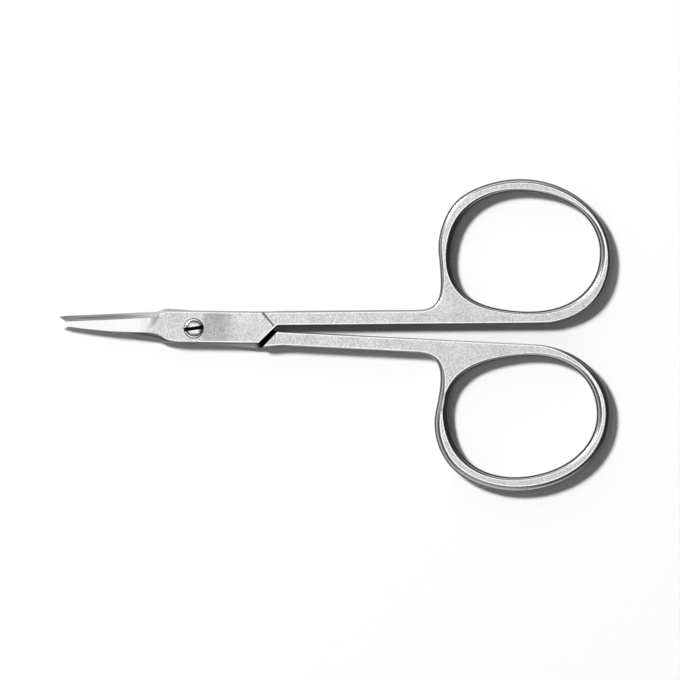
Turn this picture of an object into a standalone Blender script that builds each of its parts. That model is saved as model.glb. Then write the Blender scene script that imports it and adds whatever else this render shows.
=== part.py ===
# Manicure scissors: two forged halves that lap at a screwed joint.
# X runs from the blade tips (-) to the finger rings (+), Y across, Z up.
# The origin is on the screw's axis, on the plane that the scissors rest on.
# Each half is drawn in its own frame, closed, with its ring at +Y, its
# ride face (the face that slides on the other half) at height zero and its
# ground outer face up. The back half is the same form turned over.
import math

import bmesh
import bpy
from mathutils import Vector

# Whole scissors
rest_opening = math.radians(3.4)
thickness = 0.0030
ride_gap = 0.00004
pivot_offset = 0.00027
blade_lean = math.radians(1.36)

# Blades: sides are measured from the blade's centre line
blade_length = 0.0220
blade_heel = 0.0069
tip_rounding = 0.0011
edge_side_at_tip = 0.00050
edge_side_at_middle = 0.00089
edge_side_at_heel = 0.00138
spine_side_at_tip = 0.00012
spine_side_at_middle = 0.00100
spine_side_at_heel = 0.00190
spine_slope_at_tip = 0.00006
spine_slope_at_middle = 0.00024
spine_slope_at_heel = 0.00088
edge_land = 0.00006
grind_angle = math.radians(32.0)
grind_stop = 0.0057
grind_run_out = 0.0028
hollow_depth = 0.00006
hollow_margin = 0.00025

# Lap plates
plate_width = 0.00536
plate_reach = 0.0133
arrow_length = 0.0026
heel_blend = 0.0027
slope_blend = 0.0048
shoulder_clearance = 0.00018
shoulder_length = 0.0022
shoulder_rounding = 0.0006
groove_width = 0.00030
groove_depth = 0.00014
groove_stop = 0.00030

# Shanks: handle_gap is left between the closed handles
shank_side = 0.00248
handle_gap = 0.00008

# Walls lean in from mid height to the flat faces by these slopes
plate_slope = 0.00020
shank_slope = 0.00024
facing_slope = 0.00012
front_ring_slope = 0.00062
back_ring_slope = 0.00095
ring_slope_turn = math.radians(57.0)
hole_end_slope = 0.00095
hole_side_slope = 0.00050
ring_round_height = 0.00085
edge_chamfer = 0.00007

# Finger rings
front_handle_length = 0.0681
back_handle_length = 0.0686
front_ring_length = 0.0282
back_ring_length = 0.0289
front_ring_width = 0.0235
back_ring_width = 0.0239
front_ring_tilt = math.radians(-8.0)
back_ring_tilt = math.radians(-14.0)
front_far_wall = 0.0018
back_far_wall = 0.0023
front_near_wall = 0.0024
back_near_wall = 0.0026
front_outer_wall = 0.0021
back_outer_wall = 0.0025
inner_wall = 0.0021
front_far_corner = 0.00085
front_far_corner_turn = math.radians(-38.0)
front_far_corner_spread = math.radians(30.0)
front_near_corner = 0.00038
front_near_corner_turn = math.radians(145.0)
front_near_corner_spread = math.radians(18.0)
back_far_corner = 0.00024
back_far_corner_turn = math.radians(50.0)
back_far_corner_spread = math.radians(30.0)
back_near_corner = 0.00020
back_near_corner_turn = math.radians(150.0)
back_near_corner_spread = math.radians(20.0)
hole_squareness = 2.12
hole_corner = 0.0012
hole_corner_turn = math.radians(226.0)
hole_corner_spread = math.radians(32.0)
neck_rise = 0.0115
neck_reach = 0.0035
neck_side_share = 0.69
neck_shank_share = 1.18

# Pivot screw
head_diameter = 0.0031
head_rim = 0.00006
head_crown = 0.00030
rim_height = 0.00023
rim_width = 0.00030
rim_fullness = 0.7
head_cone = 0.00060
screw_diameter = 0.0019
slot_width = 0.00060
slot_depth = 0.00050
slot_turn = math.radians(10.8)
running_clearance = 0.00005
thread_clearance = 0.00003

# Making: overrun lets every cutter pass the faces that it cuts
overrun = 0.0010
overrun_share = 0.1
groove_exit_share = 0.25
mitre_share = 0.6
weld_share = 0.001
tip_steps = 6
blade_steps = 14
corner_steps = 5
neck_steps = 14
facing_steps = 12
shank_steps = 8
hollow_steps = 14
hollow_width_steps = 8
run_out_steps = 10
crown_steps = 6
rim_steps = 4
round_steps = 40
ring_steps = 64
wall_height_shares = (-0.86, -0.72, -0.55, -0.33, 0.0, 0.33, 0.55, 0.72, 0.86)

half_thickness = thickness / 2


def ease(start, end, x):
    # Smooth step from 0 at start to 1 at end
    t = min(max((x - start) / (end - start), 0.0), 1.0)
    return t * t * (3 - 2 * t)


def spread(start, end, count):
    # Evenly spaced values, both ends included
    return [start + (end - start) * i / count for i in range(count + 1)]


def turned(point, angle):
    c, s = math.cos(angle), math.sin(angle)
    return (point[0] * c - point[1] * s, point[0] * s + point[1] * c)


def tip_xs():
    # Close rows where the tip rounds off
    return [-blade_length + tip_rounding * (i / tip_steps) ** 2 for i in range(tip_steps + 1)]


def along_blade(at_tip, at_middle, at_heel, x):
    # Parabola through three values, held level beyond the heel
    t = min(max((x + blade_length) / (blade_length - blade_heel), 0.0), 1.0)
    tip_part = at_tip * (1 - t) * (1 - 2 * t)
    middle_part = at_middle * 4 * t * (1 - t)
    return tip_part + middle_part + at_heel * t * (2 * t - 1)


def tip_share(x):
    # Rounds the outline off to the point over tip_rounding
    s = min(max((x + blade_length) / tip_rounding, 0.0), 1.0)
    return s * (2 - s)


def ground_edge(x):
    # Cutting edge's distance from the centre line
    width = along_blade(edge_side_at_tip, edge_side_at_middle, edge_side_at_heel, x)
    return width * tip_share(x)


def edge_side(x):
    # Cutting edge, then the rounded shoulder up to the plate's side
    width = ground_edge(x)
    return width + (plate_width / 2 - width) * ease(-blade_heel, heel_blend - blade_heel, x)


def spine_side(x):
    width = along_blade(spine_side_at_tip, spine_side_at_middle, spine_side_at_heel, x)
    width = width * tip_share(x)
    return width + (plate_width / 2 - width) * ease(-blade_heel, heel_blend - blade_heel, x)


def spine_slope(x):
    slope = along_blade(spine_slope_at_tip, spine_slope_at_middle, spine_slope_at_heel, x)
    slope = slope * tip_share(x)
    return slope + (plate_slope - slope) * ease(-blade_heel, slope_blend - blade_heel, x)


def cubic_curve(p0, p1, p2, p3, count):
    # Points of a cubic curve between its ends, both ends left out
    points = []
    for i in range(1, count):
        t = i / count
        u = 1 - t
        weights = (u * u * u, 3 * u * u * t, 3 * u * t * t, t * t * t)
        x = sum(w * p[0] for w, p in zip(weights, (p0, p1, p2, p3)))
        y = sum(w * p[1] for w, p in zip(weights, (p0, p1, p2, p3)))
        points.append((x, y))
    return points


def rounded_corner(before, corner, after, radius, count):
    # Arc that rounds the corner of two straight runs
    a = (Vector(before) - Vector(corner)).normalized()
    b = (Vector(after) - Vector(corner)).normalized()
    half_angle = a.angle(b) / 2
    centre = Vector(corner) + (a + b).normalized() * (radius / math.sin(half_angle))
    start = Vector(corner) + a * (radius / math.tan(half_angle)) - centre
    end = Vector(corner) + b * (radius / math.tan(half_angle)) - centre
    sweep = start.angle_signed(end)
    points = []
    for turn in spread(0.0, -sweep, count):
        x, y = turned(start, turn)
        points.append((centre.x + x, centre.y + y))
    return points


def meeting_point(a, b, level):
    # Where the line through a and b reaches the height level
    t = (level - a[1]) / (b[1] - a[1])
    return (a[0] + (b[0] - a[0]) * t, level)


class Half:
    # Places of one half: the lap zone leans about the pivot's abeam point,
    # and the two halves lean and stand off to opposite sides.

    def __init__(self, side):
        self.lean = -blade_lean * side
        self.shift = pivot_offset * side
        if side > 0:
            self.tilt, self.ring_slope = front_ring_tilt, front_ring_slope
            a, b, handle_length = front_ring_length / 2, front_ring_width / 2, front_handle_length
            self.walls = (front_near_wall, front_far_wall, front_outer_wall)
            self.corners = (
                (front_far_corner, front_far_corner_turn, front_far_corner_spread),
                (front_near_corner, front_near_corner_turn, front_near_corner_spread))
        else:
            self.tilt, self.ring_slope = back_ring_tilt, back_ring_slope
            a, b, handle_length = back_ring_length / 2, back_ring_width / 2, back_handle_length
            self.walls = (back_near_wall, back_far_wall, back_outer_wall)
            self.corners = (
                (back_far_corner, back_far_corner_turn, back_far_corner_spread),
                (back_near_corner, back_near_corner_turn, back_near_corner_spread))
        c, s = math.cos(self.tilt), math.sin(self.tilt)
        self.semi = (a, b)
        self.ring_reach = math.hypot(a * c, b * s)
        self.ring_rise = math.hypot(a * s, b * c)
        self.parting = handle_gap / 2 + self.shift
        centre_x = handle_length - self.ring_reach
        self.ring_centre = (centre_x, self.parting + self.ring_rise)

    def lap(self, x, y):
        # From the lap zone's frame to the half's frame
        px, py = turned((x, y), self.lean)
        return (px, py + self.shift)

    def ring_point(self, angle):
        # An ellipse with fuller corners, which never crosses the parting line
        x, y = self.semi[0] * math.cos(angle), self.semi[1] * math.sin(angle)
        reach = math.hypot(x, y)
        grow = 1.0
        for corner, turn, width in self.corners:
            away = (angle - turn) % math.tau
            away = min(away, math.tau - away)
            grow += corner * math.exp(-(away / width) ** 2) / reach
        x, y = turned((x * grow, y * grow), self.tilt)
        return (self.ring_centre[0] + x, max(self.ring_centre[1] + y, self.parting))

    def ring_heading(self, angle):
        dx, dy = -self.semi[0] * math.sin(angle), self.semi[1] * math.cos(angle)
        return Vector(turned((dx, dy), self.tilt)).normalized()

    def outline(self):
        # Outer outline at mid height, counter-clockwise:
        # (x, y, slope, chamfer, roundness)
        rows = []

        def add(point, slope, chamfer=edge_chamfer, roundness=0.0):
            rows.append((point[0], point[1], slope, chamfer, roundness))

        # Spine, from the tip to the heel, then the plate's free side
        corner_x = plate_reach - arrow_length
        blade_xs = tip_xs() + spread(-blade_length + tip_rounding, -blade_heel, blade_steps)[1:]
        heel_xs = spread(-blade_heel, slope_blend - blade_heel, blade_steps)[1:]
        for x in blade_xs + heel_xs:
            on_plate = ease(-blade_heel, heel_blend - blade_heel, x)
            add(self.lap(x, -spine_side(x)), spine_slope(x), edge_chamfer * on_plate)
        corner = self.lap(corner_x, -plate_width / 2)
        add(corner, plate_slope)

        # Slanted end of the plate, rounded into the shank's facing side
        tip_of_arrow = self.lap(plate_reach, 0.0)
        root = meeting_point(corner, tip_of_arrow, self.parting)
        inner_end = (self.ring_centre[0], self.parting)
        for point in rounded_corner(corner, root, inner_end, shoulder_rounding, corner_steps):
            add(point, facing_slope)

        # Ring, from its lowest point round to the neck
        a, b = self.semi
        top_turn = math.atan2(b * math.cos(self.tilt), a * math.sin(self.tilt))
        arrive = top_turn - math.pi
        leave = top_turn + math.acos(neck_rise / self.ring_rise - 1)
        facing_end = self.ring_point(arrive)
        for x in spread(root[0] + shoulder_rounding, facing_end[0], facing_steps)[1:-1]:
            add((x, self.parting), facing_slope)
        for angle in spread(arrive, leave, ring_steps):
            on_ring = ease(arrive, arrive + ring_slope_turn, angle)
            slope = facing_slope + (self.ring_slope - facing_slope) * on_ring
            add(self.ring_point(angle), slope, roundness=on_ring)

        # Neck, which sweeps from the ring into the shank's outer side
        start = Vector(self.ring_point(leave))
        shank_y = self.parting + shank_side - handle_gap / 2
        end = Vector((self.ring_centre[0] - self.ring_reach - neck_reach, shank_y))
        pull_down = self.ring_heading(leave) * ((start.y - end.y) * neck_side_share)
        pull_in = Vector(((start.x - end.x) * neck_shank_share, 0.0))
        neck = cubic_curve(start, start + pull_down, end + pull_in, end, neck_steps)
        for i, point in enumerate(neck):
            on_shank = ease(-1, neck_steps - 1, i)
            slope = self.ring_slope + (shank_slope - self.ring_slope) * on_shank
            add(point, slope, roundness=1.0 - on_shank)
        for x in spread(end.x, plate_reach + arrow_length / 2, shank_steps):
            add((x, shank_y), shank_slope)
        add(self.lap(corner_x, plate_width / 2), plate_slope)

        # Plate's other side, the shoulder and the cutting edge back to the tip
        for x in reversed(blade_xs[1:] + heel_xs):
            on_plate = ease(-blade_heel, heel_blend - blade_heel, x)
            add(self.lap(x, edge_side(x)), plate_slope * on_plate, edge_chamfer * on_plate)
        return rows

    def hole(self):
        # Finger hole at mid height, clockwise
        near_wall, far_wall, outer_wall = self.walls
        left = self.ring_centre[0] - self.ring_reach + near_wall
        right = self.ring_centre[0] + self.ring_reach - far_wall
        low = self.parting + inner_wall
        high = self.ring_centre[1] + self.ring_rise - outer_wall
        c, s = math.cos(self.tilt), math.sin(self.tilt)
        half_x, half_y = (right - left) / 2, (high - low) / 2
        # Half axes whose tilted ellipse has the wanted reach and rise
        b = math.sqrt((half_y ** 2 * c ** 2 - half_x ** 2 * s ** 2) / (c ** 4 - s ** 4))
        a = math.sqrt((half_x ** 2 - (b * s) ** 2) / c ** 2)
        rows = []
        for i in range(ring_steps):
            angle = -math.tau * i / ring_steps
            cx, sy = math.cos(angle), math.sin(angle)
            x = math.copysign(a * abs(cx) ** (2 / hole_squareness), cx)
            y = math.copysign(b * abs(sy) ** (2 / hole_squareness), sy)
            away = (angle - hole_corner_turn) % math.tau
            away = min(away, math.tau - away)
            grow = hole_corner * math.exp(-(away / hole_corner_spread) ** 2)
            reach = math.hypot(x, y)
            x, y = turned((x * (1 + grow / reach), y * (1 + grow / reach)), self.tilt)
            slope = hole_side_slope + (hole_end_slope - hole_side_slope) * cx * cx
            rows.append(((left + right) / 2 + x, (low + high) / 2 + y, slope, edge_chamfer, 1.0))
        return rows


def wall_levels():
    # Heights of the wall's rows (as shares), and their share of the chamfer
    chamfer = edge_chamfer / half_thickness
    levels = [(-1.0, 1.0), (chamfer - 1.0, 0.0)]
    levels += [(share, 0.0) for share in wall_height_shares]
    return levels + [(1.0 - chamfer, 0.0), (1.0, 1.0)]


def lean_share(height_share, roundness):
    # How far a wall has leant in at a height: as a slope, or rounded over
    start = 1.0 - ring_round_height / half_thickness
    climb = max((abs(height_share) - start) / (1.0 - start), 0.0)
    rounded = 1.0 - math.sqrt(max(1.0 - climb * climb, 0.0))
    sloped = height_share * height_share
    return sloped + (rounded - sloped) * roundness


def inset_ring(bm, rows, height_share, chamfer_share):
    # One row of vertices: the outline moved inward square to itself
    count = len(rows)
    verts = []
    for i, (x, y, slope, chamfer, roundness) in enumerate(rows):
        before = Vector(rows[i - 1][:2])
        after = Vector(rows[(i + 1) % count][:2])
        here = Vector((x, y))
        d1, d2 = (here - before).normalized(), (after - here).normalized()
        n1, n2 = Vector((-d1.y, d1.x)), Vector((-d2.y, d2.x))
        mitre = (n1 + n2).normalized()
        step = slope * lean_share(height_share, roundness) + chamfer * chamfer_share
        spot = here + mitre * (step / max(mitre.dot(n1), mitre_share))
        verts.append(bm.verts.new((spot.x, spot.y, height_share * half_thickness)))
    return verts


def forged_blank(half):
    # The half before it is ground, milled and drilled
    bm = bmesh.new()
    caps = []
    for rows in (half.outline(), half.hole()):
        loops = [inset_ring(bm, rows, *level) for level in wall_levels()]
        for low, high in zip(loops, loops[1:]):
            for i in range(len(low)):
                j = (i + 1) % len(low)
                bm.faces.new((low[i], low[j], high[j], high[i]))
        caps.append((loops[0], loops[-1]))
    for level in (0, 1):
        edges = []
        for pair in caps:
            loop = pair[level]
            edges += [bm.edges.get((loop[i - 1], loop[i])) for i in range(len(loop))]
        bmesh.ops.triangle_fill(bm, use_beauty=True, use_dissolve=False, edges=edges)
    bmesh.ops.remove_doubles(bm, verts=bm.verts, dist=edge_chamfer * weld_share)
    bmesh.ops.recalc_face_normals(bm, faces=bm.faces)
    return bm


def new_object(name, bm, material=None):
    mesh = bpy.data.meshes.new(name)
    bm.to_mesh(mesh)
    bm.free()
    item = bpy.data.objects.new(name, mesh)
    bpy.context.scene.collection.objects.link(item)
    if material:
        mesh.materials.append(material)
    return item


def loft(sections):
    # Closed solid through sections that all have the same number of points
    bm = bmesh.new()
    loops = [[bm.verts.new(point) for point in section] for section in sections]
    for low, high in zip(loops, loops[1:]):
        for i in range(len(low)):
            j = (i + 1) % len(low)
            bm.faces.new((low[i], low[j], high[j], high[i]))
    bm.faces.new(loops[0])
    bm.faces.new(loops[-1])
    bmesh.ops.recalc_face_normals(bm, faces=bm.faces)
    return bm


def turned_solid(profile):
    # Solid of revolution about Z through (radius, height) points; ends at 0
    bm = bmesh.new()
    loops = []
    for radius, height in profile:
        if radius == 0:
            loops.append([bm.verts.new((0, 0, height))])
            continue
        ring = []
        for i in range(round_steps):
            x, y = turned((radius, 0.0), math.tau * i / round_steps)
            ring.append(bm.verts.new((x, y, height)))
        loops.append(ring)
    for one, two in zip(loops, loops[1:]):
        for i in range(round_steps):
            j = (i + 1) % round_steps
            if len(one) == 1:
                bm.faces.new((one[0], two[j], two[i]))
            elif len(two) == 1:
                bm.faces.new((one[i], one[j], two[0]))
            else:
                bm.faces.new((one[i], one[j], two[j], two[i]))
    bmesh.ops.recalc_face_normals(bm, faces=bm.faces)
    return bm


def cut(item, name, bm):
    # Takes a cutter out of an object
    cutter = new_object(name, bm)
    cutter.parent = item
    cutter.hide_render = True
    cutter.display_type = 'WIRE'
    modifier = item.modifiers.new(name, 'BOOLEAN')
    modifier.operation = 'DIFFERENCE'
    modifier.solver = 'EXACT'
    modifier.object = cutter
    return cutter


def shoulder_line(half, clearance):
    # Ends of the line where the half's full thickness begins, which stands
    # off from the tip of the other half's arrow by the clearance
    run = shoulder_length / (plate_width / 2)
    far = plate_width / 2 + overrun
    return (half.lap(plate_reach + clearance - far * run, far),
            half.lap(plate_reach + clearance + far * run, -far))


def lap_cutter(half):
    # Mills away everything under the ride face up to the shoulder
    high, low = shoulder_line(half, shoulder_clearance)
    run_out = half.lap(plate_reach, -plate_width)
    root = meeting_point(high, low, half.parting)
    inner = (root[0] + plate_width, half.parting)
    arc = rounded_corner(high, root, inner, shoulder_rounding, corner_steps)
    aside = Vector(arc[-1]) - Vector(arc[-2])
    leave = Vector(arc[-1]) + aside.normalized() * plate_width
    left = -blade_length - overrun
    outline = [(left, run_out[1]), (leave.x, run_out[1]), tuple(leave)]
    outline += list(reversed(arc)) + [high, (left, high[1])]
    top = ride_gap / 2
    bottom = -half_thickness - overrun
    sections = []
    for z in (bottom, top):
        sections.append([(x, y, z) for x, y in outline])
    return loft(sections)


def hollow_cutter(half):
    # Shallow bowl ground along the ride face, so that only the edges meet
    start = -blade_length + tip_rounding * 2
    end = -blade_heel + heel_blend / 2
    side = 1 + overrun_share
    sections = []
    for u in spread(-1, 1, hollow_steps):
        x = start + (end - start) * (u + 1) / 2
        high = ground_edge(x) - hollow_margin
        low = hollow_margin - spine_side(x)
        middle, reach = (high + low) / 2, (high - low) / 2
        section = []
        for v in spread(-side, side, hollow_width_steps):
            z = ride_gap / 2 + hollow_depth * (1 - u * u - v * v)
            px, py = half.lap(x, middle + reach * v)
            section.append((px, py, z))
        for v in (side, -side):
            px, py = half.lap(x, middle + reach * v)
            section.append((px, py, -half_thickness))
        sections.append(section)
    return loft(sections)


def grind_cutter(half):
    # The wheel's path over the outer face: a level slope from the spine down
    # to the cutting edge, which runs out in a curve at the heel
    start = -grind_stop - grind_run_out
    xs = [-blade_length - overrun] + tip_xs()
    xs += spread(-blade_length + tip_rounding, start, blade_steps)[1:]
    xs += [start + grind_run_out * (i + 1) / run_out_steps for i in range(run_out_steps + 2)]
    steepness = math.tan(grind_angle)
    above = thickness + steepness * (plate_width + 2 * overrun)
    sections = []
    for x in xs:
        lift = max((x - start) / grind_run_out, 0.0)
        edge_height = edge_land + (half_thickness - edge_land) * lift * lift
        edge = ground_edge(x)
        far = plate_width / 2 + overrun
        slope_top = edge_height + steepness * (edge + far)
        corners = ((far, edge_height), (edge, edge_height), (-far, slope_top))
        section = []
        for y, z in corners + ((-far, above), (far, above)):
            px, py = half.lap(x, y)
            section.append((px, py, z))
        sections.append(section)
    return loft(sections)


def groove_cutter(half):
    # V groove that carries the arrow's line across the half's outer face
    high, low = (Vector(p) for p in shoulder_line(half, 0.0))
    root = Vector(meeting_point(high, low, half.parting))
    heading = (root - high).normalized()
    aside = Vector((-heading.y, heading.x))
    stop = root - heading * groove_stop
    raise_share = 1 + overrun / groove_depth
    flare = groove_width / 2 * raise_share
    near_stop = stop - heading * groove_width
    spots = (high, -groove_depth), (near_stop, -groove_depth), (stop, overrun * groove_exit_share)
    sections = []
    for spot, depth in spots:
        section = []
        for offset, z in ((-flare, overrun), (flare, overrun), (0.0, depth)):
            p = spot + aside * offset
            section.append((p.x, p.y, half_thickness + z))
        sections.append(section)
    return loft(sections)


def countersink_cutter():
    # Hole and countersink of the front half, with the screw's clearance
    head = head_diameter / 2 + running_clearance
    bore = screw_diameter / 2 + running_clearance
    seat = half_thickness - head_rim
    return turned_solid((
        (0, half_thickness + overrun),
        (head, half_thickness + overrun),
        (head, seat),
        (bore, seat - head_cone),
        (bore, -half_thickness - overrun),
        (0, -half_thickness - overrun),
    ))


def thread_cutter():
    bore = screw_diameter / 2 + thread_clearance
    return turned_solid((
        (0, half_thickness + overrun),
        (bore, half_thickness + overrun),
        (bore, -half_thickness - overrun),
        (0, -half_thickness - overrun),
    ))


def make_material(name, colour, roughness):
    material = bpy.data.materials.new(name)
    material.use_nodes = True
    shader = material.node_tree.nodes['Principled BSDF']
    shader.inputs['Base Color'].default_value = (*colour, 1.0)
    shader.inputs['Metallic'].default_value = 1.0
    shader.inputs['Roughness'].default_value = roughness
    material.diffuse_color = (*colour, 1.0)
    return material


def finish(item, edge_turn=math.radians(24.0)):
    item.data.shade_smooth()
    item.data.set_sharp_from_angle(angle=edge_turn)


def make_half(name, side, material, bore):
    half = Half(side)
    item = new_object(name, forged_blank(half), material)
    cut(item, name + '_lap_cut', lap_cutter(half))
    cut(item, name + '_hollow_cut', hollow_cutter(half))
    cut(item, name + '_grind_cut', grind_cutter(half))
    cut(item, name + '_groove_cut', groove_cutter(half))
    cut(item, name + '_bore_cut', bore)
    item.location = (0, 0, half_thickness)
    finish(item)
    return item


def make_screw(material):
    head, shank = head_diameter / 2, screw_diameter / 2
    # A low dome, then a rounded rim that leaves the dome at the dome's own slope
    dome, dome_drop = head - rim_width, head_crown - rim_height
    full_height = rim_height - 2 * dome_drop / dome * rim_width * rim_fullness
    profile = [(0, thickness + head_crown)]
    for share in spread(0.0, 1.0, crown_steps)[1:]:
        profile.append((dome * share, thickness + head_crown - dome_drop * share * share))
    for t in spread(0.0, 1.0, rim_steps)[1:]:
        a, b, c = (1 - t) ** 2, 2 * t * (1 - t), t * t
        profile.append((dome + rim_width * (rim_fullness * b + c),
                        thickness + rim_height * a + full_height * b))
    profile.append((head, thickness - head_rim))
    profile.append((shank, thickness - head_rim - head_cone))
    profile += [(shank, 0.0), (0, 0.0)]
    item = new_object('pivot_screw', turned_solid(profile), material)
    floor = thickness + head_crown - slot_depth
    section_ends = []
    for x in (-head - overrun, head + overrun):
        corners = ((-slot_width / 2, floor), (slot_width / 2, floor))
        corners += ((slot_width / 2, thickness + overrun), (-slot_width / 2, thickness + overrun))
        section_ends.append([(x, y, z) for y, z in corners])
    slot = cut(item, 'pivot_screw_slot_cut', loft(section_ends))
    slot.rotation_euler = (0, 0, slot_turn)
    finish(item)
    return item


def build():
    for item in list(bpy.data.objects):
        bpy.data.objects.remove(item, do_unlink=True)
    satin = make_material('satin_steel', (0.60, 0.60, 0.60), 0.34)
    satin_under = make_material('satin_steel_back', (0.58, 0.58, 0.58), 0.34)
    polished = make_material('polished_steel', (0.72, 0.72, 0.72), 0.14)
    front = make_half('front_half', 1, satin, countersink_cutter())
    front.rotation_euler = (0, 0, rest_opening / 2)
    back = make_half('back_half', -1, satin_under, thread_cutter())
    back.rotation_euler = (math.pi, 0, -rest_opening / 2)
    screw = make_screw(polished)
    screw.rotation_euler = (0, 0, -rest_opening / 2)


build()
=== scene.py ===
import math

import bmesh
import bpy
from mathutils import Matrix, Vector


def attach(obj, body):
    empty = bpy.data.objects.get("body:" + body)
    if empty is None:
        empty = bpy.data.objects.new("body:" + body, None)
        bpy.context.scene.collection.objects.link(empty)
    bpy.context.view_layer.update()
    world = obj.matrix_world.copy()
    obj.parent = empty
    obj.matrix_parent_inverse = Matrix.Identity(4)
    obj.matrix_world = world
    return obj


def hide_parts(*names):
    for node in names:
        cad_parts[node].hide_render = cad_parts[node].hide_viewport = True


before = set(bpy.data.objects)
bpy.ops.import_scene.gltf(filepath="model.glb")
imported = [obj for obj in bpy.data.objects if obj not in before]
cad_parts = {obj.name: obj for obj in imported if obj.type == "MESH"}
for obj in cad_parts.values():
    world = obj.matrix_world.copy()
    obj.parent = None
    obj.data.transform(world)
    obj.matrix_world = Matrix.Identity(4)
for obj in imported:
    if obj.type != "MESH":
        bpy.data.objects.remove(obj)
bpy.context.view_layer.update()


# Camera: straight above the scissors, as in the photograph. A long lens keeps
# it nearly without perspective, and the picture is turned a little on the
# table. A pixel is measured at the level of the scissors' upper faces.
picture_size = 680
pixel_size = 0.000163
pivot_pixel = (193.7, 328.4)
picture_turn = math.radians(1.2)
measured_level = 0.0030
view_depth = 50.0
camera_data = bpy.data.cameras.new("camera")
camera_data.lens = 600
camera_data.clip_end = view_depth
camera = bpy.data.objects.new("camera", camera_data)
bpy.context.scene.collection.objects.link(camera)
bpy.context.scene.camera = camera


def turned(point, angle):
    c, s = math.cos(angle), math.sin(angle)
    return (point[0] * c - point[1] * s, point[0] * s + point[1] * c)


aim = turned(((picture_size / 2 - pivot_pixel[0]) * pixel_size,
              (pivot_pixel[1] - picture_size / 2) * pixel_size), picture_turn)
seen_width = picture_size * pixel_size
camera_height = measured_level + seen_width * camera_data.lens / camera_data.sensor_width
camera.location = (*aim, camera_height)
camera.rotation_euler = (0, 0, picture_turn)


# Floor: a plain sheet of matt white card under the scissors, wide enough that
# its edge is in no view. It keeps the shadows.
floor_radius = 6.0
floor_drop = 0.00002
card_colour = "#FEFEFE"


def colour(hex_code):
    # An sRGB hex colour as the linear one that a socket takes
    parts = [int(hex_code[i:i + 2], 16) / 255 for i in (1, 3, 5)]
    linear = [p / 12.92 if p <= 0.04045 else ((p + 0.055) / 1.055) ** 2.4 for p in parts]
    return (*linear, 1.0)


floor_mesh = bpy.data.meshes.new("floor")
bm = bmesh.new()
bmesh.ops.create_circle(bm, cap_ends=True, segments=64, radius=floor_radius)
bm.to_mesh(floor_mesh)
bm.free()
floor = bpy.data.objects.new("floor", floor_mesh)
bpy.context.scene.collection.objects.link(floor)
floor.location = (0, 0, -floor_drop)
card = bpy.data.materials.new("matt_white_card")
card.use_nodes = True
card_shader = card.node_tree.nodes["Principled BSDF"]
card_shader.inputs["Base Color"].default_value = colour(card_colour)
card_shader.inputs["Roughness"].default_value = 1.0
card_shader.inputs["Specular IOR Level"].default_value = 0.0
floor_mesh.materials.append(card)


# Light: a key box at the upper left throws the shadows, and a wide overhead
# box and strips at the far and near sides fill them, with a glow from the low
# left. The camera sees white round the floor, and metal a bright horizon.
def soft_box(name, place, width, depth, power):
    data = bpy.data.lights.new(name, "AREA")
    data.shape = "RECTANGLE"
    data.size, data.size_y = width, depth
    data.energy = power
    item = bpy.data.objects.new(name, data)
    bpy.context.scene.collection.objects.link(item)
    item.location = place
    item.rotation_euler = Vector(place).to_track_quat("Z", "Y").to_euler()
    item.visible_camera = False


def add_node(tree, kind, sockets=None, **settings):
    # Adds one node with its settings; a socket is linked, a value is set
    node = tree.nodes.new(kind)
    for name, value in settings.items():
        setattr(node, name, value)
    for name, value in (sockets or {}).items():
        if isinstance(value, bpy.types.NodeSocket):
            tree.links.new(value, node.inputs[name])
        else:
            node.inputs[name].default_value = value
    return node


soft_box("key_box", place=(-1.32, 1.12, 2.42), width=0.50, depth=0.50, power=92.5)
soft_box("overhead_box", place=(0.0, 0.0, 3.0), width=0.9, depth=0.9, power=2.95)
soft_box("far_strip", place=(-0.2, 1.4, 0.9), width=1.2, depth=1.0, power=2.7)
soft_box("near_strip", place=(-0.3, -1.2, 1.5), width=1.0, depth=1.2, power=2.0)
even_glow = 0.02
left_glow = 0.18
left_glow_in_metal = 0.5
horizon_in_metal = 0.8
right_horizon_share = 0.1
world = bpy.data.worlds.new("studio")
world.use_nodes = True
glow_tree = world.node_tree
# Each fade runs over a range of the direction's X, to the right, or Z, upward
outward = add_node(glow_tree, "ShaderNodeTexCoord")
direction = add_node(glow_tree, "ShaderNodeSeparateXYZ", {"Vector": outward.outputs["Generated"]})
leftward = add_node(glow_tree, "ShaderNodeMapRange", {"Value": direction.outputs["X"],
                                                      "From Min": 0.75, "From Max": 0.15})
lowness = add_node(glow_tree, "ShaderNodeMapRange", {"Value": direction.outputs["Z"],
                                                     "From Min": 0.90, "From Max": 0.25})
low_left = add_node(glow_tree, "ShaderNodeMath", {0: leftward.outputs["Result"],
                                                  1: lowness.outputs["Result"]},
                    operation="MULTIPLY")
glow = add_node(glow_tree, "ShaderNodeMath", {0: low_left.outputs[0], 1: left_glow,
                                              2: even_glow}, operation="MULTIPLY_ADD")
horizon = add_node(glow_tree, "ShaderNodeMapRange", {"Value": direction.outputs["Z"],
                                                     "From Min": 0.55, "From Max": 0.20,
                                                     "To Max": horizon_in_metal})
off_right = add_node(glow_tree, "ShaderNodeMapRange", {"Value": direction.outputs["X"],
                                                       "From Min": 0.80, "From Max": 0.40,
                                                       "To Min": right_horizon_share})
rim_glow = add_node(glow_tree, "ShaderNodeMath", {0: horizon.outputs["Result"],
                                                  1: off_right.outputs["Result"]},
                    operation="MULTIPLY")
sides = add_node(glow_tree, "ShaderNodeMath", {0: low_left.outputs[0], 1: left_glow_in_metal,
                                               2: rim_glow.outputs[0]},
                 operation="MULTIPLY_ADD")
seen_by = add_node(glow_tree, "ShaderNodeLightPath")
in_metal = add_node(glow_tree, "ShaderNodeMath", {0: sides.outputs[0],
                                                  1: seen_by.outputs["Is Glossy Ray"],
                                                  2: glow.outputs[0]}, operation="MULTIPLY_ADD")
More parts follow.
